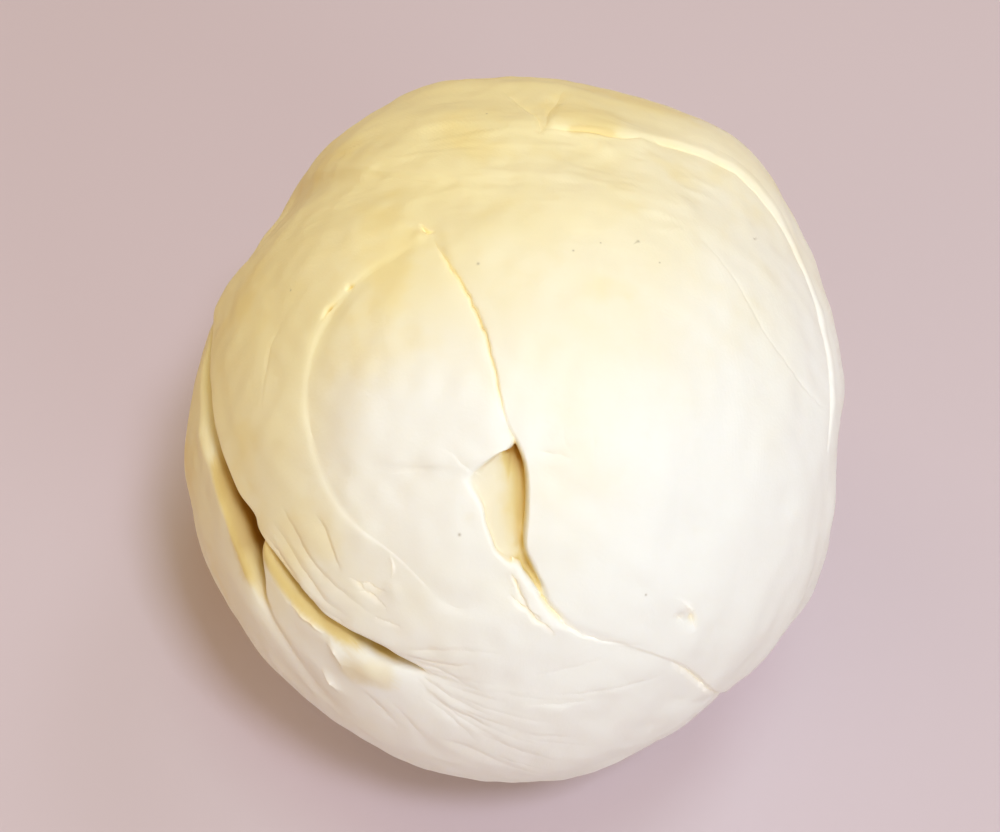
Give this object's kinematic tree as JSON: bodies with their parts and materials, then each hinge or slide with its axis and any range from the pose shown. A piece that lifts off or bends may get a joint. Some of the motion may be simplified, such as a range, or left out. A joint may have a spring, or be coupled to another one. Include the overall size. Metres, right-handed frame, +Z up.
{
  "type": "oaxaca cheese ball",
  "caption": "Soft white ball of stretched-curd cheese, a wide flat ribbon wound on itself like yarn, with lapped seams, a small pit and a flat spot to rest on.",
  "frame": {"origin": "middle of the ball's outline, at the height of the flat spot it rests on", "axes": "+Z up, -Y the ball's front, +X to its right; the ball is longest along Y"},
  "size_m": [0.1104, 0.1234, 0.1039],
  "materials": {
    "cheese": "satin, moist, slightly translucent cream white"
  },
  "bodies": {
    "root": {"cheese_ball": "cheese"}
  },
  "joints": []
}
